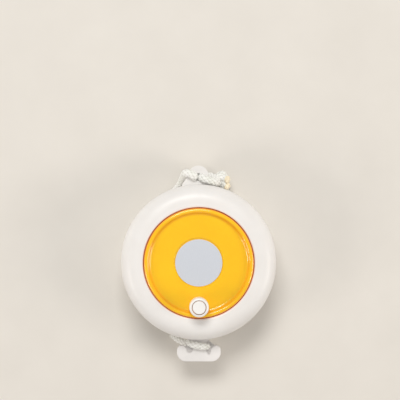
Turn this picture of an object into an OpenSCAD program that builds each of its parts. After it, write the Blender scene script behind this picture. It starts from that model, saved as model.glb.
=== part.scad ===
// Hand-cranked laundry reel: a line on a spool in a round case, with a double hook on the line
// and a rope loop to hang the case by. The case lies on its back: z = 0 is the back face,
// +Z comes out of the front, and +Y points at the hanging lug.

/* [Case] */
// Outer diameter of the case
case_d = 80; // [79:0.5:84]
// Depth of the case, back face to front ring
case_h = 30; // [30:0.5:32]
// Wall thickness of both shells
wall = 1.8; // [1.6:0.1:2]
// Height of the parting line, and the round of the rear edge
part_z = 12; // [11.5:0.5:12.5]
// Round of the front edge
front_r = 8.5; // [8:0.5:9]
// Diameter of the opening that the crank disc turns in
mouth_d = 56.6; // [56.5:0.1:57.4]

/* [Lug] */
// Height of the lug's top above the case axis
lug_top = 49.8; // [49.6:0.1:51]
// Radius of the lug's round top
lug_r = 5.4; // [5.2:0.1:6]
// Thickness of the lug
lug_t = 9; // [8:0.5:10]
// Width of the rope slot
slot_w = 7; // [6.8:0.1:7.6]
// Height of the rope slot
slot_h = 3.8; // [3.6:0.1:4.2]

/* [Reel] */
// Diameter of the crank disc
disc_d = 56; // [55.8:0.1:56.2]
// Diameter of the spool flanges
flange_d = 62.4; // [62:0.1:62.6]
// Outer diameter of the spool's drum
drum_d = 16; // [15:0.5:17]
// Width between the spool flanges
spool_w = 21.6; // [21:0.1:21.6]
// Outside diameter of the wound line
wound_d = 61.2; // [50:0.1:61.2]

/* [Knob] */
// Diameter of the crank knob
knob_d = 9.8; // [9.4:0.1:10.6]
// Distance of the knob from the reel axis
knob_off = 21.8; // [21:0.1:22]
// Height of the knob
knob_h = 7.4; // [6:0.1:9]

/* [Cords] */
// Diameter of the line and of the hanging rope
cord_d = 3.2; // [3:0.1:3.2]

/* [Hook] */
// Thickness of the hook plate
hook_t = 3; // [2.6:0.1:3.2]

/* [Hidden] */
$fn = 96;

case_r = case_d / 2;
fit = 0.05;                    // radial clearance of a running fit
seam = 0.15;                   // shadow gap at the parting line
plane_w = 300;                 // half-size of the trimming blocks
rear_r = part_z;               // the rear edge is one quarter round, which leaves room for the rope
mouth_r = mouth_d / 2;
collar_t = 1.4;                // the collar that hangs from the mouth
collar_h = 2.4;
lip_r = 0.9;                   // round of the mouth's edge
tongue_h = 1.6;                // the rear shell's tongue inside the front shell
tongue_t = 1;
lug_y = lug_top - lug_r;
lug_z = part_z - lug_t / 2;
slot_y = 43.85;
slot_round = slot_h / 2;

screw_ring = 34.7;             // case screws, outside the spool
screw_turns = [35, 145, 215, 325];
screw_seat = 6;
boss_d = 6;
shank_d = 2.2;
clear_d = 2.6;
pocket_d = 4.8;
head_d = 4.4;
head_h = 1.6;
front_boss_h = 9;

guide_d = 7;                   // line guide, clamped in the parting line
guide_bore = 4;
guide_flange_d = 8.8;
guide_flange_t = 1;
guide_out = 0.1;               // stands out of the case wall
guide_edge = 0.7;              // round of the bore's mouths

post_d = 9;                    // the rear shell's post, which the drum turns on
post_top = 25;
post_screw_d = 2.8;
post_screw_end = 13;
spring_t = 0.7;
flange_t = 1.5;
rear_flange_z = wall + spring_t;
wound_z = rear_flange_z + flange_t;
front_flange_z = wound_z + spool_w;
disc_z = front_flange_z + flange_t;
flange_ring = 26.4;            // screws that hold the disc to the front flange
flange_turns = [30, 150, 270];
flange_shank_d = 2;
flange_head_d = 3.6;

disc_r = disc_d / 2;
field_t = 1.6;                 // thickness of the disc's flat field
field_z = disc_z + field_t;
rim_r = 1.3;                   // half-width and round of the disc's rim
rim_up = 0.6;                  // centre of the rim's round, above the field
cove_r = 2;                    // hollow round between the rim and the field
cove_lap = 0.03;               // the cove runs this far into the rim's round
cove_x = disc_r - rim_r - sqrt(pow(cove_r + rim_r - cove_lap, 2) - pow(cove_r - rim_up, 2));
cove_top = rim_up + (cove_r - rim_up) * rim_r / (cove_r + rim_r);
label_r = 12;
label_t = 0.25;
recess_r = 12.3;               // the label's shallow recess
recess_h = 0.7;
hub_d = 11.8;                  // the disc's hub, plugged into the drum
hub_z = post_top + 0.1;
hub_floor = 0.9;
well_d = 9.2;
washer_d = 8.4;
washer_t = 0.5;
washer_z = hub_z + hub_floor + 0.05;
centre_head_d = 5.6;
centre_head_h = 1.2;

pin_d = 4;
pin_head_d = 6.8;
pin_head_t = 1.5;
pin_sink = 0.25;               // the pin's head lies just under the knob's top
knob_boss_d = 8.4;
knob_boss_up = 2;
knob_z = field_z + knob_boss_up + 0.1;
knob_top = knob_z + knob_h;
knob_well_d = 7.4;
knob_edge = 1.1;

line_z = part_z;
hook_z = line_z + cord_d / 2 + 0.1;
hook_x = 0.3;                  // the hook hangs a little to the right of the guide
hook_head_y = -40.5;
hook_base_y = -52.1;
hook_lobe_y = -46.4;
hook_lobe_x = 8.8;
hook_lobe_r = 2.6;
hook_bowl_x = 6.6;             // centres of the bowl's two round corners
hook_bowl_r = 4.8;

// Routes of the cords, chosen by hand, in millimetres
lead_route = [[-23, -23, 12], [-19.6, -26, 12], [-15.3, -28.8, 12], [-10.9, -30.7, 12], [-8, -31.5, 12],
              [-4.8, -32.6, 12], [-1.9, -34.4, 12], [-0.3, -37, 12], [0, -39.5, 12], [0, -42.6, 12]];
tail_route = [[-1, -44.2, 9.2], [-4.5, -43.8, 9.6], [-7.5, -43.2, 8.6], [-9.8, -42.4, 6.4],
              [-11.9, -41.3, 3.8], [-13.6, -40, 1.9]];
hitch_route = [[0, -42.65, 12], [0, -43.4, 12], [1.2, -44.4, 11.9], [2.8, -44.6, 12.1], [4.3, -44.5, 13.3],
               [4.8, -44.3, 15.2], [4.3, -44.2, 17.2], [2.6, -44, 18.3], [0.3, -43.6, 18.4],
               [-2.2, -43.2, 18.3], [-4.1, -42.7, 17.2], [-4.8, -42.4, 15.2], [-4.3, -42.4, 13],
               [-2.9, -43.3, 10.4], [-1, -44.1, 8.8]];
knot_route = [[2, -45.2, 10.8], [0.8, -45.6, 10.4], [-0.6, -45.4, 10.2], [-1.6, -44.6, 9.8]];
knot_tube_r = 2;               // the knot behind the hook's stem
lug_route = [[10, 41.2, 4.6], [6.4, 41.4, 4.8], [3.2, 42.2, 5.2], [1.9, 43.2, 7.4], [1.75, 43.8, 12],
             [1.75, 43.7, 16.2], [2.9, 43, 18.3], [5.8, 42.1, 18.4], [8.4, 41.6, 16.9],
             [9.4, 41.8, 12.5], [8.9, 43.1, 7.6], [6.2, 44.4, 5.2], [2, 44.8, 4.9], [-1, 44.6, 5.4],
             [-1.75, 44, 8], [-1.75, 43.8, 12], [-1.75, 43.9, 16.2], [-2.8, 44.6, 18.3], [-4.6, 45.7, 18.2],
             [-6.4, 45.8, 16.5], [-7.3, 44.5, 12.2], [-8, 42.9, 8.6], [-9.2, 40.4, 5.7], [-11.4, 37.3, 3.4],
             [-14, 34.8, 2.1], [-16.2, 33.4, 1.7]];
wrap_r = 37.2;                 // the loop runs under the case's rounded edge
wrap_turns = [for (a = [120 : 12 : 408]) a];
wrap_z = cord_d / 2 + 0.05;
wrap_route = [for (a = wrap_turns) [wrap_r * cos(a), wrap_r * sin(a), wrap_z]];
back_route = [[21.4, 30.8, 1.7], [18, 33.4, 1.8], [14.8, 36.4, 2.2], [12.8, 39.2, 3.4]];
knot_at = [12, 42.4, 4.8];
knot_r = 4.3;
end_a = [[12.4, 43.6, 6.8], [15.6, 42.8, 7.2]];
end_b = [[12.6, 41.4, 5.6], [15.4, 39.2, 5.8]];

// A tube of straight-sided rings along a route
function unit(v) = v / norm(v);
function heading(p, i) = unit(p[min(i + 1, len(p) - 1)] - p[max(i - 1, 0)]);
function side_of(t) = unit(cross(t, abs(t[2]) > 0.9 ? [1, 0, 0] : [0, 0, 1]));
// Carries the side direction from ring to ring, so that the tube doesn't twist
function carried(p, i) =
    i == 0 ? side_of(heading(p, 0))
           : let (t = heading(p, i), last = carried(p, i - 1)) unit(last - t * (last * t));
function ring(c, t, s, r, sides) =
    let (u = cross(t, s))
    [for (k = [0 : sides - 1]) c + r * (cos(360 * k / sides) * s + sin(360 * k / sides) * u)];

module tube(p, r, sides = 8) {
    n = len(p);
    pts = [for (i = [0 : n - 1]) each ring(p[i], heading(p, i), carried(p, i), r, sides)];
    skin = [for (i = [0 : n - 2], k = [0 : sides - 1])
        let (a = i * sides + k, b = i * sides + (k + 1) % sides) [a, a + sides, b + sides, b]];
    first = [for (k = [0 : sides - 1]) k];
    last = [for (k = [sides - 1 : -1 : 0]) (n - 1) * sides + k];
    polyhedron(points = pts, faces = concat(skin, [first, last]));
}

// Shorthand for revolved outlines: a rectangle from radius a to b and height c to d
module band(a, b, c, d) translate([a, c]) square([b - a, d - c]);
module at_turns(r, turns) for (a = turns) translate([r * cos(a), r * sin(a), 0]) children();
module tidy_disc(r, h, edge) {
    rotate_extrude() {
        band(0, r - edge, 0, h);
        band(0, r, 0, h - edge);
        intersection() {
            translate([r - edge, h - edge]) circle(edge);
            band(r - edge, r, h - edge, h);
        }
    }
}

// Outline of the whole case as it would be revolved, shrunk by t
module case_outline(t) {
    band(0, case_r - rear_r, t, case_h - t);
    band(0, case_r - t, rear_r, case_h - front_r);
    intersection() {
        translate([case_r - rear_r, rear_r]) circle(rear_r - t);
        band(case_r - rear_r, case_r, 0, rear_r);
    }
    band(0, case_r - front_r, case_h - front_r, case_h - t);
    intersection() {
        translate([case_r - front_r, case_h - front_r]) circle(front_r - t);
        band(case_r - front_r, case_r, case_h - front_r, case_h);
    }
}
module case_wall() rotate_extrude() difference() {
    case_outline(0);
    case_outline(wall);
}

// The hanging lug's outline, with its rope slot
module lug_outline() difference() {
    union() {
        translate([0, lug_y]) circle(lug_r);
        polygon([[-11, 33], [11, 33], [9.4, 37.2], [8, 40.6], [lug_r + 0.9, 43], [lug_r - 0.1, lug_y + 0.7],
                 [0.1 - lug_r, lug_y + 0.7], [-lug_r - 0.9, 43], [-8, 40.6], [-9.4, 37.2]]);
    }
    for (s = [-1, 1]) translate([s * (slot_w - slot_h) / 2, slot_y]) circle(slot_round);
    translate([0, slot_y]) square([slot_w - slot_h, slot_h], center = true);
}
module lug(z0, z1) difference() {
    translate([0, 0, z0]) linear_extrude(z1 - z0) lug_outline();
    translate([0, 0, -1]) cylinder(r = case_r - wall / 2, h = case_h + 2);
}
module half(z0, z1) translate([-plane_w, -plane_w, z0]) cube([2 * plane_w, 2 * plane_w, z1 - z0]);

// A screw boss with its rib to the case wall, grown by g all round
module bosses(h, g = 0) at_turns(screw_ring, screw_turns) cylinder(d = boss_d + 2 * g, h = h);
module ribs(h, g = 0) at_turns(screw_ring + 1.8, screw_turns) cylinder(d = boss_d - 1 + 2 * g, h = h);

// Room for the line guide in the case wall
module guide_room() translate([0, 0, line_z]) rotate([90, 0, 0]) {
    cylinder(d = guide_d, h = case_r + 2);
    translate([0, 0, case_r - wall - 2.2]) cylinder(d = guide_flange_d + 0.4, h = 2.3);
}

// The front shell's cross-section: ring, mouth with its rounded edge, and collar
module front_outline() difference() {
    union() {
        difference() {
            case_outline(0);
            case_outline(wall);
        }
        band(mouth_r - 1, mouth_r + collar_t, case_h - collar_h, case_h - 0.5);
    }
    translate([-1, -1]) square([case_r + 2, part_z + seam + 1]);
    band(-1, mouth_r, case_h - collar_h - 1, case_h + 1);
    difference() {
        band(mouth_r - 1, mouth_r + lip_r, case_h - lip_r, case_h + 1);
        translate([mouth_r + lip_r, case_h - lip_r]) circle(lip_r);
    }
}
module front_shell() color("whitesmoke") difference() {
    union() {
        rotate_extrude() front_outline();
        lug(part_z + seam, part_z + lug_t / 2);
        translate([0, 0, part_z + seam]) {
            bosses(front_boss_h);
            ribs(front_boss_h);
        }
    }
    at_turns(screw_ring, screw_turns)
        translate([0, 0, part_z]) cylinder(d = shank_d, h = front_boss_h - 1);
    guide_room();
}

module rear_shell() color("white") difference() {
    union() {
        intersection() {
            case_wall();
            half(-1, part_z);
        }
        rotate_extrude() band(case_r - wall - fit - tongue_t, case_r - wall - fit, part_z - 2, part_z + tongue_h);
        rotate_extrude() band(case_r - wall - fit - tongue_t, case_r - wall + 0.3, part_z - 2, part_z - 0.6);
        lug(lug_z, part_z);
        cylinder(d = post_d, h = post_top);
        intersection() {
            bosses(part_z);
            rotate_extrude() case_outline(wall / 2);
        }
    }
    at_turns(screw_ring, screw_turns) {
        translate([0, 0, -1]) cylinder(d = pocket_d, h = screw_seat + 1);
        cylinder(d = clear_d, h = part_z + 4);
    }
    // room for the front shell's bosses in the tongue
    translate([0, 0, part_z]) {
        bosses(tongue_h + 1, 0.3);
        ribs(tongue_h + 1, 0.3);
    }
    translate([0, 0, post_screw_end]) cylinder(d = post_screw_d, h = post_top);
    guide_room();
}

module case_screws() color("silver") at_turns(screw_ring, screw_turns) difference() {
    union() {
        translate([0, 0, screw_seat - head_h]) cylinder(d = head_d, h = head_h);
        translate([0, 0, screw_seat]) cylinder(d = shank_d, h = part_z + front_boss_h - 2 - screw_seat);
    }
    // cross recess
    for (a = [0, 90]) translate([0, 0, screw_seat - head_h]) rotate([0, 0, a])
        cube([2.4, 0.6, 1.6], center = true);
}

// A flanged bush with rounded mouths, on the axis of the line's outlet
module line_guide() color("gainsboro") translate([0, 0, line_z]) rotate([90, 0, 0]) rotate_extrude() {
    inner = case_r - wall - 0.1 - guide_flange_t;
    outer = case_r + guide_out;
    bore = guide_bore / 2;
    band(bore, guide_d / 2, inner + guide_edge, outer - guide_edge);
    band(bore + guide_edge, guide_d / 2, inner, outer);
    band(bore + guide_edge, guide_flange_d / 2, inner, inner + guide_flange_t);
    for (y = [inner + guide_edge, outer - guide_edge]) translate([bore + guide_edge, y]) circle(guide_edge);
}

module spool_drum() color("gold") difference() {
    rotate_extrude() {
        band(post_d / 2 + fit, drum_d / 2, rear_flange_z, disc_z);
        band(post_d / 2 + fit, flange_d / 2, rear_flange_z, wound_z);
    }
    translate([0, 0, post_top - 0.2]) cylinder(d = hub_d, h = 10);
    // stepped spigot for the front flange
    translate([0, 0, front_flange_z]) difference() {
        cylinder(d = drum_d + 1, h = 10);
        translate([0, 0, -1]) cylinder(d = drum_d - 1, h = 12);
    }
}

module flange_screw_hole(extra) {
    cylinder(d = flange_shank_d, h = 3.9 + extra);
    cylinder(d1 = flange_head_d, d2 = flange_shank_d, h = 0.8);
}

module front_flange() color("gold") difference() {
    rotate_extrude() band(drum_d / 2 - 0.5, flange_d / 2, front_flange_z, disc_z);
    translate([0, 0, front_flange_z]) at_turns(flange_ring, flange_turns) flange_screw_hole(1);
}

module flange_screws() color("silver") translate([0, 0, front_flange_z])
    at_turns(flange_ring, flange_turns) difference() {
        flange_screw_hole(0);
        translate([0, 0, 0.2]) cube([2.2, 0.5, 0.9], center = true);
    }

module crank_disc() color("orange") difference() {
    union() {
        rotate_extrude() difference() {
            union() {
                band(0, disc_r, disc_z, field_z);
                band(disc_r - 2 * rim_r, disc_r, disc_z, field_z + rim_up);
                translate([disc_r - rim_r, field_z + rim_up]) circle(rim_r);
                // the rim runs into the field in a hollow round
                difference() {
                    band(cove_x, disc_r - rim_r, disc_z, field_z + cove_top);
                    translate([cove_x, field_z + cove_r]) circle(cove_r);
                }
                band(0, hub_d / 2, hub_z, disc_z + 0.1);
            }
            polygon([[-1, field_z - recess_h], [recess_r, field_z - recess_h],
                     [recess_r + recess_h + 0.1, field_z + 0.1], [-1, field_z + 0.1]]);
            band(-1, well_d / 2, hub_z + hub_floor, field_z);
        }
        translate([0, -knob_off, field_z - 1]) cylinder(d = knob_boss_d, h = knob_boss_up + 1);
    }
    cylinder(d = post_screw_d + 0.4, h = 100);
    translate([0, -knob_off, disc_z + 0.4]) cylinder(d = pin_d, h = 20);
    translate([0, 0, front_flange_z]) at_turns(flange_ring, flange_turns) cylinder(d = flange_shank_d, h = 3.9);
}

module disc_label() color("lightsteelblue") translate([0, 0, field_z - recess_h])
    cylinder(r = label_r, h = label_t);

module centre_screw() color("silver") difference() {
    union() {
        translate([0, 0, washer_z + washer_t]) tidy_disc(centre_head_d / 2, centre_head_h, 0.5);
        translate([0, 0, post_screw_end + 1])
            cylinder(d = post_screw_d, h = washer_z + washer_t - post_screw_end - 1);
    }
    for (a = [0, 90]) translate([0, 0, washer_z + washer_t + centre_head_h]) rotate([0, 0, a])
        cube([3.2, 0.7, 1.4], center = true);
}

module centre_washer() color("silver") rotate_extrude()
    band(post_screw_d / 2, washer_d / 2, washer_z, washer_z + washer_t);

module drag_spring() color("silver") difference() {
    rotate_extrude() band(post_d / 2 + 0.3, 7.6, wall, wall + spring_t - 0.05);
    translate([0, -0.5, 0]) cube([10, 1, 10]);
}

module knob_pin() color("white") translate([0, -knob_off, 0]) {
    head_z = knob_top - pin_sink - pin_head_t;
    translate([0, 0, disc_z + 0.4]) cylinder(d = pin_d, h = head_z - disc_z - 0.4);
    translate([0, 0, head_z]) tidy_disc(pin_head_d / 2, pin_head_t, 0.4);
}

module knob_sleeve() color("white") translate([0, -knob_off, 0]) rotate_extrude() difference() {
    union() {
        band(0, knob_d / 2 - knob_edge, knob_z, knob_top);
        band(0, knob_d / 2, knob_z + 0.5, knob_top - knob_edge);
        translate([knob_d / 2 - knob_edge, knob_top - knob_edge]) circle(knob_edge);
        translate([knob_d / 2 - 0.5, knob_z + 0.5]) circle(0.5);
        band(0, knob_d / 2 - 0.5, knob_z, knob_z + 1);
    }
    band(-1, pin_d / 2 + fit, knob_z - 1, knob_top + 1);
    band(-1, knob_well_d / 2, knob_top - pin_sink - pin_head_t - 0.1, knob_top + 1);
}

module wound_line() color("ivory") rotate_extrude()
    band(drum_d / 2, wound_d / 2, wound_z, front_flange_z);

module line_lead() color("ivory") tube(lead_route, cord_d / 2);

module hook_hitch() color("ivory") {
    tube(hitch_route, cord_d / 2);
    tube(tail_route, cord_d / 2);
    tube(knot_route, knot_tube_r);
}

// Pieces of the double hook's outline: the bowl, the two lobes, the stem and the two notches
module hook_corner(s) intersection() {
    translate([s * hook_bowl_x, hook_base_y + hook_bowl_r, 0]) cylinder(r = hook_bowl_r, h = hook_t);
    translate([-20, hook_base_y - 1, -1]) cube([40, hook_bowl_r + 1.2, hook_t + 2]);
}
module hook_bowl() {
    hook_corner(-1);
    hook_corner(1);
    translate([-hook_bowl_x, hook_base_y, 0]) cube([2 * hook_bowl_x, hook_lobe_y - hook_base_y, hook_t]);
    for (s = [-1, 1]) translate([s * hook_lobe_x - 2, hook_base_y + hook_bowl_r - 1.5, 0])
        cube([4, hook_lobe_y - hook_base_y - hook_bowl_r + 1.5, hook_t]);
}
module hook_stem() polygon([[-3.6, hook_lobe_y - 1], [-3.3, hook_lobe_y + 1.4], [-3.3, -42.7],
    [-5.6, -41.3], [-5.6, hook_head_y], [5.2, hook_head_y], [5.2, -41], [4, -42.2], [3.3, -42.9],
    [3.3, hook_lobe_y + 1.4], [4, hook_lobe_y - 0.2], [4, hook_lobe_y - 1]]);
// The left notch is round, for hanging on a line; the right one is a V that grips it
module round_notch() {
    translate([-4.8, hook_lobe_y + 0.5]) circle(1.35);
    polygon([[-3.45, hook_lobe_y + 3], [-3.45, hook_lobe_y + 0.5], [-6.15, hook_lobe_y + 0.5],
             [-6.6, hook_lobe_y + 3]]);
}
module grip_notch() polygon([[3.9, hook_lobe_y + 3], [3.9, hook_lobe_y + 0.4], [5, hook_lobe_y - 1.9],
    [5.5, hook_lobe_y - 1.9], [6.6, hook_lobe_y + 0.4], [6.9, hook_lobe_y + 3]]);
module line_hook() color("gainsboro") translate([hook_x, 0, hook_z]) {
    difference() {
        union() {
            hook_bowl();
            for (s = [-1, 1]) translate([s * hook_lobe_x, hook_lobe_y, 0]) cylinder(r = hook_lobe_r, h = hook_t);
        }
        translate([0, 0, -1]) linear_extrude(hook_t + 2) round_notch();
        translate([0, 0, -1]) linear_extrude(hook_t + 2) grip_notch();
    }
    linear_extrude(hook_t) hook_stem();
}

module hang_rope() color("ivory") tube(concat(lug_route, wrap_route, back_route), cord_d / 2);

module hang_knot() color("ivory") {
    translate(knot_at) sphere(r = knot_r);
    tube(end_a, cord_d / 2, 12);
    tube(end_b, cord_d / 2, 12);
}

front_shell();
rear_shell();
case_screws();
line_guide();
spool_drum();
front_flange();
flange_screws();
crank_disc();
disc_label();
centre_screw();
centre_washer();
drag_spring();
knob_pin();
knob_sleeve();
wound_line();
line_lead();
hook_hitch();
line_hook();
hang_rope();
hang_knot();
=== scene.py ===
"""Looks of the hand-cranked clothesline reel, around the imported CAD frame.

The axes are the frame's own: the case lies on its back, z = 0 is the back face, +Z comes out of
the front and +Y points at the hanging lug. Cords and the hook are laid out in millimetres, as in
part.scad, and MM takes them to the frame's metres. Everything else is in metres.
"""

import math
import random

import bmesh
import bpy
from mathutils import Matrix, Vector, noise


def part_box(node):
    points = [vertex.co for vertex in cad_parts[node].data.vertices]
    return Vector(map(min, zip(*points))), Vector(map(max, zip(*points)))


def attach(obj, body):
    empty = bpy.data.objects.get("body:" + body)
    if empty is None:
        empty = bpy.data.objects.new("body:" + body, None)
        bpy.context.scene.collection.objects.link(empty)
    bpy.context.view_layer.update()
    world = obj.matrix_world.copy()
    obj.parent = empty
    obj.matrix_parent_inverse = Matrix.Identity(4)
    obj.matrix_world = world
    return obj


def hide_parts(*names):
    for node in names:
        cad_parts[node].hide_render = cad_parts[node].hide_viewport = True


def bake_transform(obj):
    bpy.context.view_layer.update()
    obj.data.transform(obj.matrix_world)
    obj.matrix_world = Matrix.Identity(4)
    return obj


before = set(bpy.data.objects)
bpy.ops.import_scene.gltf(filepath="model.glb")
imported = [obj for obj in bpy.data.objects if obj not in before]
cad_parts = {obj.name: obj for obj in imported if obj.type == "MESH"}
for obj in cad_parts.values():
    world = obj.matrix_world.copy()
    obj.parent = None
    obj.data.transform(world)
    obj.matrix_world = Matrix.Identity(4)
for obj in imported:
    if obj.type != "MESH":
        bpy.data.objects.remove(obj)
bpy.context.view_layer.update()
MM = 0.001
scene = bpy.context.scene


# ---------------------------------------------------------------- camera
def make_camera():
    """Straight above, at the height that the picture's perspective gives, and a little to the left
    of the case; the lens's shift brings it back to the middle."""
    cam = bpy.data.cameras.new("photo_camera")
    cam.sensor_width = 36
    cam.lens = 101.0
    cam.shift_x, cam.shift_y = 0.062, -0.039
    cam.clip_start, cam.clip_end = 0.05, 20
    obj = bpy.data.objects.new("photo_camera", cam)
    obj.location = (-12 * MM, 40 * MM, 600 * MM)
    scene.collection.objects.link(obj)
    scene.camera = obj


make_camera()


# ---------------------------------------------------------------- cord routes, as in part.scad
CORD_D = 3.2
WOUND_D = 2.75  # the line, pressed together on the spool
LEAD = [(-23, -23, 12), (-19.6, -26, 12), (-15.3, -28.8, 12), (-10.9, -30.7, 12), (-8, -31.5, 12),
        (-4.8, -32.6, 12), (-1.9, -34.4, 12), (-0.3, -37, 12), (0, -39.5, 12), (0, -42.6, 12)]
HITCH = [(0, -42.65, 12), (0, -43.4, 12), (1.2, -44.4, 11.9), (2.8, -44.6, 12.1), (4.3, -44.5, 13.3),
         (4.8, -44.3, 15.2), (4.3, -44.2, 17.2), (2.6, -44, 18.3), (0.3, -43.6, 18.4), (-2.2, -43.2, 18.3),
         (-4.1, -42.7, 17.2), (-4.8, -42.4, 15.2), (-4.3, -42.4, 13), (-2.9, -43.3, 10.4), (-1, -44.1, 8.8)]
TAIL = [(-4.5, -43.8, 9.6), (-7.5, -43.2, 8.6), (-9.8, -42.4, 6.4), (-11.9, -41.3, 3.8), (-13.6, -40, 1.9)]
LUG = [(10, 41.2, 4.6), (6.4, 41.4, 4.8), (3.2, 42.2, 5.2), (1.9, 43.2, 7.4), (1.75, 43.8, 12),
       (1.75, 43.7, 16.2), (2.9, 43, 18.3), (5.8, 42.1, 18.4), (8.4, 41.6, 16.9), (9.4, 41.8, 12.5),
       (8.9, 43.1, 7.6), (6.2, 44.4, 5.2), (2, 44.8, 4.9), (-1, 44.6, 5.4), (-1.75, 44, 8),
       (-1.75, 43.8, 12), (-1.75, 43.9, 16.2), (-2.8, 44.6, 18.3), (-4.6, 45.7, 18.2), (-6.4, 45.8, 16.5),
       (-7.3, 44.5, 12.2), (-8, 42.9, 8.6), (-9.2, 40.4, 5.7), (-11.4, 37.3, 3.4), (-14, 34.8, 2.1),
       (-16.2, 33.4, 1.7)]
WRAP_R, WRAP_Z = 37.2, 1.65  # the loop's way round the case, under its rounded rear edge
WRAP = [(WRAP_R * math.cos(math.radians(a)), WRAP_R * math.sin(math.radians(a)), WRAP_Z)
        for a in range(120, 409, 12)]
BACK = [(21.4, 30.8, 1.7), (18, 33.4, 1.8), (14.8, 36.4, 2.2), (12.8, 39.2, 3.4)]
END_A = [(10.6, 43.6, 5.6), (12.4, 43.6, 6.8), (15.6, 42.8, 7.2)]
END_B = [(10.8, 42.4, 5.0), (12.6, 41.4, 5.6), (15.4, 39.2, 5.8)]


# ---------------------------------------------------------------- curves
def between(a, b, ta, tb, t):
    """The place at t on the straight way from a at ta to b at tb."""
    return a * ((tb - t) / (tb - ta)) + b * ((t - ta) / (tb - ta))


def spline(points, step):
    """Points closer than step on the centripetal Catmull-Rom curve through the given ones."""
    given = [Vector(q) for q in points]
    p = [2 * given[0] - given[1], *given, 2 * given[-1] - given[-2]]
    fine = []
    for p0, p1, p2, p3 in zip(p, p[1:], p[2:], p[3:]):
        t0 = 0.0
        t1 = t0 + max(1e-6, (p1 - p0).length) ** 0.5
        t2 = t1 + max(1e-6, (p2 - p1).length) ** 0.5
        t3 = t2 + max(1e-6, (p3 - p2).length) ** 0.5
        n = max(4, int((p2 - p1).length / step) * 2)
        for k in range(n):
            t = t1 + (t2 - t1) * k / n
            a1 = between(p0, p1, t0, t1, t)
            a2 = between(p1, p2, t1, t2, t)
            a3 = between(p2, p3, t2, t3, t)
            b1 = between(a1, a2, t0, t2, t)
            b2 = between(a2, a3, t1, t3, t)
            fine.append(between(b1, b2, t1, t2, t))
    fine.append(given[-1].copy())
    return fine


def smooth(points, step):
    """A smooth curve through the points, as points at even steps."""
    fine = spline(points, step)
    run = [0.0]
    for a, b in zip(fine, fine[1:]):
        run.append(run[-1] + (b - a).length)
    count = max(4, round(run[-1] / step))
    out = []
    j = 0
    for k in range(count + 1):
        at = run[-1] * k / count
        while j < len(run) - 2 and run[j + 1] < at:
            j += 1
        gap = run[j + 1] - run[j]
        out.append(fine[j].lerp(fine[j + 1], (at - run[j]) / gap if gap > 0 else 0))
    return out


def frames_of(path):
    """Tangent and two side directions that don't twist, at each point."""
    last = len(path) - 1
    tangents = [(path[min(i + 1, last)] - path[max(i - 1, 0)]).normalized() for i in range(last + 1)]
    side = tangents[0].orthogonal().normalized()
    out = []
    for t in tangents:
        side = (side - t * side.dot(t)).normalized()
        out.append((t, side, t.cross(side)))
    return out


def thinned(path):
    """About every sixth point of a cord's middle line, in metres."""
    last = len(path) - 1
    parts = max(1, last // 6)
    return [tuple(path[round(i * last / parts)] * MM) for i in range(parts + 1)]


# ---------------------------------------------------------------- meshes
def place(name, mesh):
    """Puts a mesh in the scene, smooth shaded."""
    for face in mesh.polygons:
        face.use_smooth = True
    obj = bpy.data.objects.new(name, mesh)
    scene.collection.objects.link(obj)
    return obj


def place_bmesh(name, bm):
    mesh = bpy.data.meshes.new(name)
    bm.to_mesh(mesh)
    bm.free()
    return place(name, mesh)


def place_cord(name, verts, faces, crowns):
    """A cord's mesh, with the height of its braid kept for the material as the attribute crown."""
    mesh = bpy.data.meshes.new(name)
    mesh.from_pydata([tuple(v) for v in verts], [], faces)
    mesh.update()
    layer = mesh.attributes.new("crown", "FLOAT", "POINT")
    layer.data.foreach_set("value", crowns)
    return place(name, mesh)


def tube_faces(rings, sides):
    faces = []
    for i in range(rings - 1):
        for k in range(sides):
            a, b = i * sides + k, i * sides + (k + 1) % sides
            faces.append((a, b, b + sides, a + sides))
    return faces


# ---------------------------------------------------------------- braid
STRANDS = 5  # strands each way round the cord
SADDLE = 0.45  # height of a strand between two crossings, in parts of its height on a crossing
SIDES = 40  # points round the cord
CROWN_RISE = 1.35  # height of the highest crowns, in parts of the relief
LOOSE = 0.18  # how much single strands stand out or sink
UNEVEN = 0.05  # how much the cord's thickness wanders
DOME_RINGS = ((0.8, 0.28), (0.45, 0.45))  # width and height of the rings of a domed end
DOME_TOP = 0.5
DOME_CROWN = 0.8  # stands for the braid's height in the material of a domed end
WOUND_CROWN = 0.85  # and in that of the winding, which has no strands of its own


def braid_height(turn, s, pitch):
    """Height of the braid, 0 in the grooves and 1 on the crowns, at a turn round it and s along it."""
    a = math.sin(math.pi * STRANDS * (turn + s / pitch))
    b = math.sin(math.pi * STRANDS * (turn - s / pitch))
    top, cross = (abs(a), abs(b)) if a * b > 0 else (abs(b), abs(a))
    return math.sqrt(top) * (SADDLE + (1 - SADDLE) * cross)


def add_dome(verts, faces, crowns, base, centre, out, r, at_start):
    """Closes a braid with a low dome at the ring of points that starts at base."""
    middle = centre * MM
    ring = list(range(base, base + SIDES))
    for width, lift in DOME_RINGS:
        new = [len(verts) + k for k in range(SIDES)]
        for k in range(SIDES):
            verts.append(middle + (verts[base + k] - middle) * width + out * (r * lift * MM))
            crowns.append(DOME_CROWN)
        for k in range(SIDES):
            a, b = ring[k], ring[(k + 1) % SIDES]
            c, d = new[(k + 1) % SIDES], new[k]
            faces.append((a, d, c, b) if at_start else (a, b, c, d))
        ring = new
    top = len(verts)
    verts.append(middle + out * (r * DOME_TOP * MM))
    crowns.append(DOME_CROWN)
    for k in range(SIDES):
        a, b = ring[k], ring[(k + 1) % SIDES]
        faces.append((a, top, b) if at_start else (a, b, top))


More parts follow.
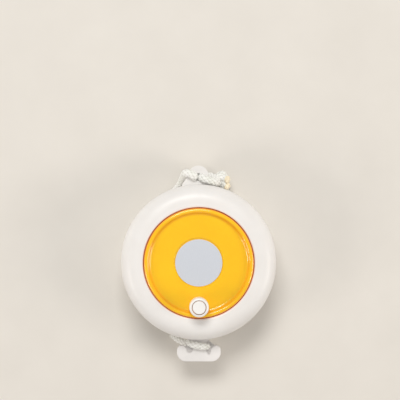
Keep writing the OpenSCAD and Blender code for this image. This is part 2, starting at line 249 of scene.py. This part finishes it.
def braid(name, points, d=CORD_D, pitch=11.5, relief=0.17, flat=0.16, tight=0.0, step=0.26, seed=1):
    """A braided cord as a mesh: a tube whose surface is the braid's strands. flat is how much it is
    squashed where it lies level, and tight how much it spreads where it stands upright."""
    path = smooth(points, step)
    shift = random.Random(seed).random()
    r = d / 2
    verts, crowns = [], []
    run = 0.0
    for i, (c, (t, side, up)) in enumerate(zip(path, frames_of(path))):
        if i:
            run += (c - path[i - 1]).length
        level = 1 - abs(t.z)
        wide = 1 + flat * level + tight * abs(t.z)
        thin = 1 - flat * level
        # slow unevenness along the cord, with a course of its own for each seed
        fat = 1 + UNEVEN * noise.noise(Vector((run * 0.25, seed * 7.1, 0.3)))
        for k in range(SIDES):
            turn = k / SIDES
            x, y = math.cos(2 * math.pi * turn), math.sin(2 * math.pi * turn)
            h = braid_height(turn + shift, run, pitch)
            # a loose strand here and there keeps the braid from looking machined
            h *= 1 + LOOSE * noise.noise(Vector((run * 0.9, x * 1.5, y * 1.5 + seed)))
            rr = r * (1 - relief + relief * CROWN_RISE * h) * fat
            o = side * (x * rr) + up * (y * rr)
            o = Vector((o.x * wide, o.y * wide, o.z * thin))
            # squashed, the cross-section has to be square to the path again
            o -= t * o.dot(t)
            verts.append((c + o) * MM)
            crowns.append(max(0.0, min(1.0, h)))
    faces = tube_faces(len(path), SIDES)
    last_ring = (len(path) - 1) * SIDES
    add_dome(verts, faces, crowns, 0, path[0], (path[0] - path[1]).normalized(), r, True)
    add_dome(verts, faces, crowns, last_ring, path[-1], (path[-1] - path[-2]).normalized(), r, False)
    return place_cord(name, verts, faces, crowns), thinned(path)


def plain_tube(name, points, r, sides=8):
    """A smooth cord, for the winding inside the case."""
    path = [Vector(p) for p in points]
    verts = []
    for c, (_, side, up) in zip(path, frames_of(path)):
        for k in range(sides):
            w = 2 * math.pi * k / sides
            verts.append((c + side * (r * math.cos(w)) + up * (r * math.sin(w))) * MM)
    faces = tube_faces(len(path), sides)
    faces.append(tuple(range(sides - 1, -1, -1)))
    faces.append(tuple(range((len(path) - 1) * sides, len(path) * sides)))
    return place_cord(name, verts, faces, [WOUND_CROWN] * len(verts))


# ---------------------------------------------------------------- shader nodes
def new_material(name):
    mat = bpy.data.materials.new(name)
    mat.use_nodes = True
    tree = mat.node_tree
    return mat, tree, tree.nodes["Principled BSDF"]


def add(tree, kind, **values):
    """A new node with its settings."""
    node = tree.nodes.new(kind)
    for key, value in values.items():
        setattr(node, key, value)
    return node


def ramp(tree, source, stops):
    """A colour for each value, through (value, colour) stops."""
    node = add(tree, "ShaderNodeValToRGB")
    while len(node.color_ramp.elements) < len(stops):
        node.color_ramp.elements.new(0.5)
    for element, (at, colour) in zip(node.color_ramp.elements, stops):
        element.position = at
        element.color = (*colour, 1)
    tree.links.new(source, node.inputs["Fac"])
    return node.outputs["Color"]


def grain(tree, scale, detail=4.0, rough=0.55, stretch=None):
    """Noise over the object's own coordinates, in cells per metre."""
    where = add(tree, "ShaderNodeTexCoord").outputs["Object"]
    if stretch:
        mapping = add(tree, "ShaderNodeMapping")
        mapping.inputs["Scale"].default_value = stretch
        tree.links.new(where, mapping.inputs["Vector"])
        where = mapping.outputs["Vector"]
    node = add(tree, "ShaderNodeTexNoise")
    node.inputs["Scale"].default_value = scale
    node.inputs["Detail"].default_value = detail
    node.inputs["Roughness"].default_value = rough
    tree.links.new(where, node.inputs["Vector"])
    return node.outputs["Fac"]


def bump(tree, bsdf, source, strength, distance, after=None):
    """Relief on the surface, on top of an earlier bump where one is given."""
    node = add(tree, "ShaderNodeBump")
    node.inputs["Strength"].default_value = strength
    node.inputs["Distance"].default_value = distance
    tree.links.new(source, node.inputs["Height"])
    if after:
        tree.links.new(after.outputs["Normal"], node.inputs["Normal"])
    tree.links.new(node.outputs["Normal"], bsdf.inputs["Normal"])
    return node


def spread(tree, source, low, high):
    """A value from 0 to 1, taken to low to high."""
    node = add(tree, "ShaderNodeMapRange")
    node.inputs["To Min"].default_value = low
    node.inputs["To Max"].default_value = high
    tree.links.new(source, node.inputs["Value"])
    return node.outputs["Result"]


def gate(tree, source, low, high):
    """0 at low and 1 at high, with a soft step between; low may be the larger one."""
    node = add(tree, "ShaderNodeMapRange", interpolation_type="SMOOTHSTEP")
    node.inputs["From Min"].default_value = low
    node.inputs["From Max"].default_value = high
    tree.links.new(source, node.inputs["Value"])
    return node.outputs["Result"]


def times(tree, a, b):
    node = add(tree, "ShaderNodeMath", operation="MULTIPLY")
    tree.links.new(a, node.inputs[0])
    tree.links.new(b, node.inputs[1])
    return node.outputs[0]


def mix_colours(tree, factor, a, b, blend="MIX"):
    """Two colours mixed; the factor and b may be values or outputs."""
    node = add(tree, "ShaderNodeMix", data_type="RGBA", blend_type=blend)
    tree.links.new(a, node.inputs["A"])
    for key, value in (("Factor", factor), ("B", b)):
        if isinstance(value, bpy.types.NodeSocket):
            tree.links.new(value, node.inputs[key])
        else:
            node.inputs[key].default_value = value
    return node.outputs["Result"]


def round_coordinates(tree, centre):
    """Distance from an upright axis through centre, and height."""
    where = add(tree, "ShaderNodeTexCoord").outputs["Object"]
    moved = add(tree, "ShaderNodeVectorMath", operation="SUBTRACT")
    tree.links.new(where, moved.inputs[0])
    moved.inputs[1].default_value = centre
    parts = add(tree, "ShaderNodeSeparateXYZ")
    tree.links.new(moved.outputs[0], parts.inputs[0])
    level = add(tree, "ShaderNodeCombineXYZ")
    tree.links.new(parts.outputs["X"], level.inputs["X"])
    tree.links.new(parts.outputs["Y"], level.inputs["Y"])
    radius = add(tree, "ShaderNodeVectorMath", operation="LENGTH")
    tree.links.new(level.outputs[0], radius.inputs[0])
    return radius.outputs["Value"], parts.outputs["Z"]


# ---------------------------------------------------------------- materials
def plastic(name, dark, light, rough, coat=0.0, sss=0.0, tint=(1, 1, 1), bumpiness=0.07, gloss=0.12):
    """Moulded plastic: faint flow marks in the colour, orange-peel in the gloss, fine scuffs."""
    mat, tree, bsdf = new_material(name)
    tree.links.new(ramp(tree, grain(tree, 55, 3), [(0.3, dark), (0.7, light)]), bsdf.inputs["Base Color"])
    scuff = grain(tree, 900, 5, 0.7, (1.0, 0.25, 1.0))
    tree.links.new(spread(tree, scuff, rough - 0.03, rough + 0.03), bsdf.inputs["Roughness"])
    peel = bump(tree, bsdf, grain(tree, 260, 2, 0.4), bumpiness, 0.0002)
    bump(tree, bsdf, grain(tree, 2600, 3, 0.6), bumpiness * 0.5, 0.00004, after=peel)
    bsdf.inputs["IOR"].default_value = 1.49
    bsdf.inputs["Coat Weight"].default_value = coat
    bsdf.inputs["Coat Roughness"].default_value = gloss
    bsdf.inputs["Subsurface Weight"].default_value = sss
    bsdf.inputs["Subsurface Radius"].default_value = tint
    bsdf.inputs["Subsurface Scale"].default_value = 0.0015
    return mat


def metal(name, dark, light, rough, stretch=(1, 1, 12), metallic=1.0):
    """Bright metal with marks drawn out along one direction."""
    mat, tree, bsdf = new_material(name)
    colour = ramp(tree, grain(tree, 700, 4, 0.6, stretch), [(0.35, dark), (0.65, light)])
    tree.links.new(colour, bsdf.inputs["Base Color"])
    tree.links.new(spread(tree, grain(tree, 1500, 3), rough - 0.08, rough + 0.1), bsdf.inputs["Roughness"])
    bump(tree, bsdf, grain(tree, 2400, 3, 0.6, stretch), 0.15, 0.00005)
    bsdf.inputs["Metallic"].default_value = metallic
    return mat


def braided_rope():
    """White braided cord: painted shade in the grooves, warm grey down there and bright on the crowns, fine
    filaments along the strands.
    """
    mat, tree, bsdf = new_material("rope_white")
    crown = add(tree, "ShaderNodeAttribute", attribute_name="crown", attribute_type="GEOMETRY")
    # painted shade: the braid's height, from the attribute crown, darkens the grooves between the strands
    groove_shade = ramp(tree, crown.outputs["Fac"],
                   [(0.0, (0.50, 0.49, 0.45)), (0.3, (0.76, 0.75, 0.72)), (0.6, (0.91, 0.91, 0.89)),
                    (1.0, (0.96, 0.96, 0.95))])
    dirt = ramp(tree, grain(tree, 240, 4), [(0.3, (0.90, 0.91, 0.87)), (0.7, (1, 1, 1))])
    tree.links.new(mix_colours(tree, 1.0, groove_shade, dirt, "MULTIPLY"), bsdf.inputs["Base Color"])
    bump(tree, bsdf, grain(tree, 3200, 4, 0.7, (1, 0.35, 0.6)), 0.35, 0.00012)
    tree.links.new(spread(tree, grain(tree, 2000), 0.55, 0.8), bsdf.inputs["Roughness"])
    bsdf.inputs["Sheen Weight"].default_value = 0.35
    bsdf.inputs["Sheen Roughness"].default_value = 0.4
    return mat


def paint_ring_shade(mat, r0, r1, z_top, colour, centre=(0, 0, 0), soft=0.1 * MM):
    """Paints shade, warmed by the reel's reflected colour, on the ring between r0 and r1 below z_top, as in
    a gap or a hollow; the painted shade fades out over soft."""
    tree = mat.node_tree
    base_colour = tree.nodes["Principled BSDF"].inputs["Base Color"]
    untinted = base_colour.links[0].from_socket
    radius, height = round_coordinates(tree, centre)
    ring = times(tree, gate(tree, radius, r0 - soft, r0), gate(tree, radius, r1 + soft, r1))
    # painted shade: the ring below z_top is mixed towards the given shade colour
    painted_shade_mask = times(tree, ring, gate(tree, height, z_top, z_top - 0.2 * MM))
    tree.links.new(mix_colours(tree, painted_shade_mask, untinted, (*colour, 1)), base_colour)


WHITE = plastic("case_plastic", (0.81, 0.79, 0.77), (0.855, 0.84, 0.825), 0.42, coat=0.06, sss=0.06,
                tint=(1.0, 0.9, 0.8), bumpiness=0.035)
YELLOW = plastic("reel_plastic", (0.98, 0.54, 0.004), (1.0, 0.59, 0.006), 0.18, coat=0.6, sss=0.08,
                 tint=(1.0, 0.5, 0.1), bumpiness=0.025, gloss=0.06)
KNOB = plastic("knob_plastic", (0.84, 0.83, 0.81), (0.91, 0.90, 0.88), 0.28, coat=0.2, sss=0.06)
HOOK = plastic("hook_plastic", (0.74, 0.73, 0.72), (0.82, 0.80, 0.79), 0.45, sss=0.05, bumpiness=0.2)
GUIDE = plastic("guide_plastic", (0.66, 0.66, 0.64), (0.74, 0.74, 0.72), 0.35)
FOIL = metal("label_foil", (0.66, 0.70, 0.77), (0.72, 0.76, 0.83), 0.45, (40, 1, 1), metallic=0.35)
ZINC = metal("zinc", (0.50, 0.50, 0.48), (0.68, 0.68, 0.66), 0.33)
SPRING = metal("spring_steel", (0.36, 0.36, 0.36), (0.5, 0.5, 0.5), 0.38)
ROPE = braided_rope()
PALE_MELT = plastic("melted_pale", (0.72, 0.70, 0.64), (0.90, 0.89, 0.86), 0.35, sss=0.1, bumpiness=0.5)
MELT = plastic("melted_end", (0.84, 0.69, 0.45), (0.97, 0.89, 0.72), 0.5, sss=0.15, bumpiness=0.2)


def paint_gap_shade():
    """Painted shade and painted reflection of the reel's colour in gaps and hollows: round the knob's pin,
    in the hollow inside the disc's rim, and on both sides of the gap between disc and case."""
    lo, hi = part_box("knob_sleeve")
    axis = ((lo[0] + hi[0]) / 2, (lo[1] + hi[1]) / 2, 0)
    # painted shade with the reel's reflected orange in the well round the knob's pin
    paint_ring_shade(KNOB, 3.32 * MM, 3.78 * MM, hi[2] - 0.3 * MM, (1.0, 0.72, 0.52), centre=axis)
    disc_r, _, disc_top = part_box("crank_disc")[1]
    # painted shade on the disc's outer side, down in the gap to the case
    paint_ring_shade(YELLOW, disc_r - 0.4 * MM, disc_r + 1 * MM, disc_top - 0.3 * MM, (1.0, 0.34, 0.04))
    # painted shade on the inner wall of the disc's rim
    paint_ring_shade(YELLOW, 25.0 * MM, 25.8 * MM, 1.0, (0.99, 0.46, 0.003), soft=0.7 * MM)
    # painted reflection of the disc's orange on the case's lip beside the gap
    paint_ring_shade(WHITE, disc_r, disc_r + 0.4 * MM, disc_top - 0.5 * MM, (1.0, 0.55, 0.30))


paint_gap_shade()


def dress(obj, mat):
    """Gives a piece one material; a CAD mesh keeps its own, and the object's slots cover it."""
    if not obj.data.materials:
        obj.data.materials.append(mat)
    for slot in obj.material_slots:
        slot.link = "OBJECT"
        slot.material = mat


CAD_LOOKS = {"front_shell": WHITE, "rear_shell": WHITE, "case_screws": ZINC, "line_guide": GUIDE,
             "spool_drum": YELLOW, "front_flange": YELLOW, "flange_screws": ZINC, "crank_disc": YELLOW,
             "disc_label": FOIL, "centre_screw": ZINC, "centre_washer": ZINC, "drag_spring": SPRING,
             "knob_pin": KNOB, "knob_sleeve": KNOB}
for node_name, look in CAD_LOOKS.items():
    dress(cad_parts[node_name], look)


# ---------------------------------------------------------------- the cords
def add_piece(obj, look, body=None, node=None):
    """A finished piece: its material and slot, the body that it rides, the CAD node it replaces."""
    dress(obj, look)
    if node:
        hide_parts(node)
    if body:
        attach(obj, body)
    return obj


def cord_piece(name, points, body, node, **shape):
    obj, path = braid(name, points, **shape)
    return add_piece(obj, ROPE, body, node), path


def overhand(name, centre, size, tube, body, node=None, tilt=0.0, seed=3):
    """A tight overhand knot: one closed turn through itself, a trefoil."""
    count = 40
    squash = 0.8
    c, s = math.cos(tilt), math.sin(tilt)
    points = []
    for k in range(count):
        t = 2 * math.pi * k / count + 0.2
        x = math.sin(t) + 2 * math.sin(2 * t)
        y = math.cos(t) - 2 * math.cos(2 * t)
        z = -math.sin(3 * t) * 1.1 * squash
        q = Vector((x, y, z)) * (size / 3.0)
        points.append((centre[0] + q.x * c - q.y * s, centre[1] + q.x * s + q.y * c, centre[2] + q.z))
    return cord_piece(name, points, body, node, d=tube, pitch=8.5, step=0.24, seed=seed, relief=0.18)[0]


def melted_tip(name, at, along, body, r, seed, look=MELT):
    """The melted end of a cut cord: a lumpy bead a little wider than the cord."""
    lumps, grit = 0.26, 0.04
    flat_behind, flat_ahead = 0.35, 0.55
    lowest = -r * 0.85
    along = Vector(along).normalized()
    bm = bmesh.new()
    bmesh.ops.create_icosphere(bm, subdivisions=4, radius=1.0)
    for v in bm.verts:
        q = v.co.copy()
        q *= r * (1 + lumps * noise.noise(q * 1.5 + Vector((seed, 0, 0))) + grit * noise.noise(q * 4.3))
        q -= along * q.dot(along) * (flat_behind if q.dot(along) < 0 else flat_ahead)
        q.z = max(q.z, lowest)
        v.co = (Vector(at) + q) * MM
    return add_piece(place_bmesh(name, bm), look, body)


hang, hang_path = cord_piece("hang_rope_braid", LUG + WRAP + BACK, "case", "hang_rope", seed=2, tight=0.3)
knot = overhand("hang_knot_body", (11.6, 42.2, 5.2), 3.7, 3.1, "case", "hang_knot", tilt=0.5)
end_a, _ = cord_piece("hang_end_a", END_A, "case", None, seed=5)
end_b, _ = cord_piece("hang_end_b", END_B, "case", None, seed=6)

lead, lead_path = cord_piece("lead_braid", LEAD, None, "line_lead", seed=7, flat=0.0)
hitch, hitch_path = cord_piece("hitch_braid", HITCH + TAIL, "hook", "hook_hitch", seed=8, flat=0.2)
hitch_knot = overhand("hitch_knot", (0.4, -45.2, 10.4), 1.4, 2.4, "hook", tilt=1.1, seed=11)

tip_a = melted_tip("hang_tip_a", (15.6, 42.4, 7.3), (4, -0.8, 2.5), "case", r=2.1, seed=1)
tip_b = melted_tip("hang_tip_b", (15.5, 38.7, 6.0), (3.4, -3, 2.5), "case", r=2.1, seed=2)
tip_c = melted_tip("tail_tip", (-13.6, -40, 1.95), (-1.7, 1.3, -0.9), "hook", r=1.85, seed=3, look=PALE_MELT)


# ---------------------------------------------------------------- the double hook
def arc(cx, cy, r, a0, a1, n):
    """Points on an arc from a0 to a1 degrees, each with no fillet of its own."""
    turns = [math.radians(a0 + (a1 - a0) * i / n) for i in range(n + 1)]
    return [(cx + r * math.cos(a), cy + r * math.sin(a), 0.0) for a in turns]


def filleted(corners, n=7):
    """The outline through (x, y, radius) corners, each rounded to its radius."""
    out = []
    for i, (x, y, r) in enumerate(corners):
        here = Vector((x, y))
        if r <= 0:
            out.append(here)
            continue
        a = Vector(corners[i - 1][:2]) - here
        b = Vector(corners[(i + 1) % len(corners)][:2]) - here
        cut = min(r / math.tan(a.angle(b) / 2), a.length * 0.48, b.length * 0.48)
        p, q = here + a.normalized() * cut, here + b.normalized() * cut
        for k in range(n + 1):
            f = k / n
            out.append((1 - f) ** 2 * p + 2 * f * (1 - f) * here + f * f * q)
    return out


def hook_outline():
    """The plate's outline, anticlockwise: bowl, lobe, V notch, head, round notch, lobe."""
    bowl_x, bowl_y, bowl_r = 6.6, -47.3, 4.8
    lobe_x, lobe_y, lobe_r = 8.8, -46.4, 2.6
    bowl = arc(-bowl_x, bowl_y, bowl_r, 180, 270, 14) + arc(bowl_x, bowl_y, bowl_r, -90, 0, 14)
    right_lobe = arc(lobe_x, lobe_y, lobe_r, 0, 165, 26)
    v_notch = [(6.0, -46.8, 0.6), (5.55, -48.25, 0.35), (4.95, -48.25, 0.35), (3.9, -46.1, 0.9)]
    head = [(3.3, -45.1, 1.0), (3.3, -42.9, 1.0), (5.2, -41.1, 0.8), (5.2, -40.5, 0.4),
            (-5.6, -40.5, 0.4), (-5.6, -41.3, 0.8), (-3.3, -42.8, 1.2)]
    round_notch = arc(-4.8, -45.9, 1.35, 8, -175, 20) + [(-6.45, -44.9, 0.5)]
    left_lobe = arc(-lobe_x, lobe_y, lobe_r, 32, 180, 26)
    return filleted(bowl + right_lobe + v_notch + head + round_notch + left_lobe)


def rolled_edge(z0, z1, edge, n=4):
    """(height, inset) steps up a plate's side, whose rims are rolled over by edge."""
    lower = []
    for k in range(n + 1):
        a = math.pi / 2 * k / n
        lower.append((z0 + edge * (1 - math.cos(a)), edge * (1 - math.sin(a))))
    return lower + [(z1 - (z - z0), inset) for z, inset in reversed(lower)]


def plate(name, outline, z0, z1, edge, dx):
    """An outline, moved by dx, as a plate with rolled rims."""
    n = len(outline)
    outward = []
    for i in range(n):
        t = (outline[(i + 1) % n] - outline[i - 1]).normalized()
        outward.append(Vector((t.y, -t.x)))
    bm = bmesh.new()
    rings = []
    for z, inset in rolled_edge(z0, z1, edge):
        inner = [p - away * inset for p, away in zip(outline, outward)]
        rings.append([bm.verts.new(((q.x + dx) * MM, q.y * MM, z * MM)) for q in inner])
    for lower, upper in zip(rings, rings[1:]):
        for i in range(n):
            j = (i + 1) % n
            bm.faces.new((lower[i], lower[j], upper[j], upper[i]))
    lids = [bm.faces.new(rings[0][::-1]), bm.faces.new(rings[-1])]
    bmesh.ops.triangulate(bm, faces=lids)
    bmesh.ops.recalc_face_normals(bm, faces=bm.faces[:])
    obj = place_bmesh(name, bm)
    obj.data.set_sharp_from_angle(angle=math.radians(50))
    return obj


HOOK_EDGE = 0.32
HOOK_X = 0.3  # the plate hangs a little to the right of the line
hook_lo, hook_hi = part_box("line_hook")
hook = plate("hook_plate", hook_outline(), hook_lo[2] / MM, hook_hi[2] / MM, HOOK_EDGE, HOOK_X)
add_piece(hook, HOOK, "hook", "line_hook")


# ---------------------------------------------------------------- the winding on the spool
DRUM_R = 8
LAYERS = 8
TURN_PITCH = 2.8
PER_TURN = 16
SKIN = 1.62  # from the drum, the flanges and the winding's outside to the middle of the nearest turns


def winding():
    """The middle of the whole line on the spool: close turns, one layer up, the next one down."""
    lo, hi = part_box("wound_line")
    z0, z1 = lo[2] / MM + SKIN, hi[2] / MM - SKIN
    r0, r1 = DRUM_R + SKIN, hi[0] / MM - SKIN
    climb = (r1 - r0) / (LAYERS - 1)
    count = round((z1 - z0) / TURN_PITCH * PER_TURN)
    points = []
    start = 0.0
    for layer in range(LAYERS):
        for i in range(count + 1):
            up = i / count if layer % 2 == 0 else 1 - i / count
            r = r0 + climb * layer
            if layer and i < PER_TURN:
                r -= climb * (1 - i / PER_TURN)
            a = start + 2 * math.pi * i / PER_TURN
            points.append((r * math.cos(a), r * math.sin(a), z0 + (z1 - z0) * up))
        start += 2 * math.pi * (count + 1) / PER_TURN
    return points


wound_points = winding()
wound = plain_tube("wound_braid", wound_points, WOUND_D / 2)
add_piece(wound, ROPE, "reel", "wound_line")

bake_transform(lead)


# ---------------------------------------------------------------- floor and light
AIM = (0, 0, 0.01)  # the middle of the case


def floor():
    bm = bmesh.new()
    bmesh.ops.create_grid(bm, x_segments=2, y_segments=2, size=3.0)
    obj = place_bmesh("floor", bm)
    mat, tree, bsdf = new_material("floor_paper")
    tone = ramp(tree, grain(tree, 30, 3), [(0.3, (0.72, 0.69, 0.64)), (0.7, (0.75, 0.72, 0.67))])
    tree.links.new(tone, bsdf.inputs["Base Color"])
    bsdf.inputs["Roughness"].default_value = 0.9
    obj.data.materials.append(mat)


def soft_box(name, at, width, height, power, colour):
    """A rectangular light that looks at the case."""
    light = bpy.data.lights.new(name, "AREA")
    light.shape = "RECTANGLE"
    light.size, light.size_y = width, height
    light.energy = power
    light.color = colour
    obj = bpy.data.objects.new(name, light)
    obj.location = at
    obj.rotation_euler = (Vector(AIM) - Vector(at)).to_track_quat("-Z", "Y").to_euler()
    scene.collection.objects.link(obj)


def room(colour, strength):
    """Even light from all round."""
    world = bpy.data.worlds.new("studio")
    world.use_nodes = True
    background = world.node_tree.nodes["Background"]
    background.inputs["Color"].default_value = (*colour, 1)
    background.inputs["Strength"].default_value = strength
    scene.world = world


floor()
soft_box("key", (-0.14, 0.72, 1.0), 0.6, 0.4, 8.3, (1.0, 0.99, 0.97))
soft_box("left", (-0.8, -0.3, 0.42), 0.4, 0.3, 2.6, (1.0, 0.93, 0.86))
soft_box("right", (0.8, -0.15, 0.42), 0.4, 0.3, 2.9, (1.0, 0.93, 0.86))
soft_box("front", (0.1, -0.8, 0.45), 0.6, 0.1, 0.3, (1.0, 0.88, 0.78))
room((1.0, 0.98, 0.955), 0.37)
scene.view_settings.view_transform = "Standard"
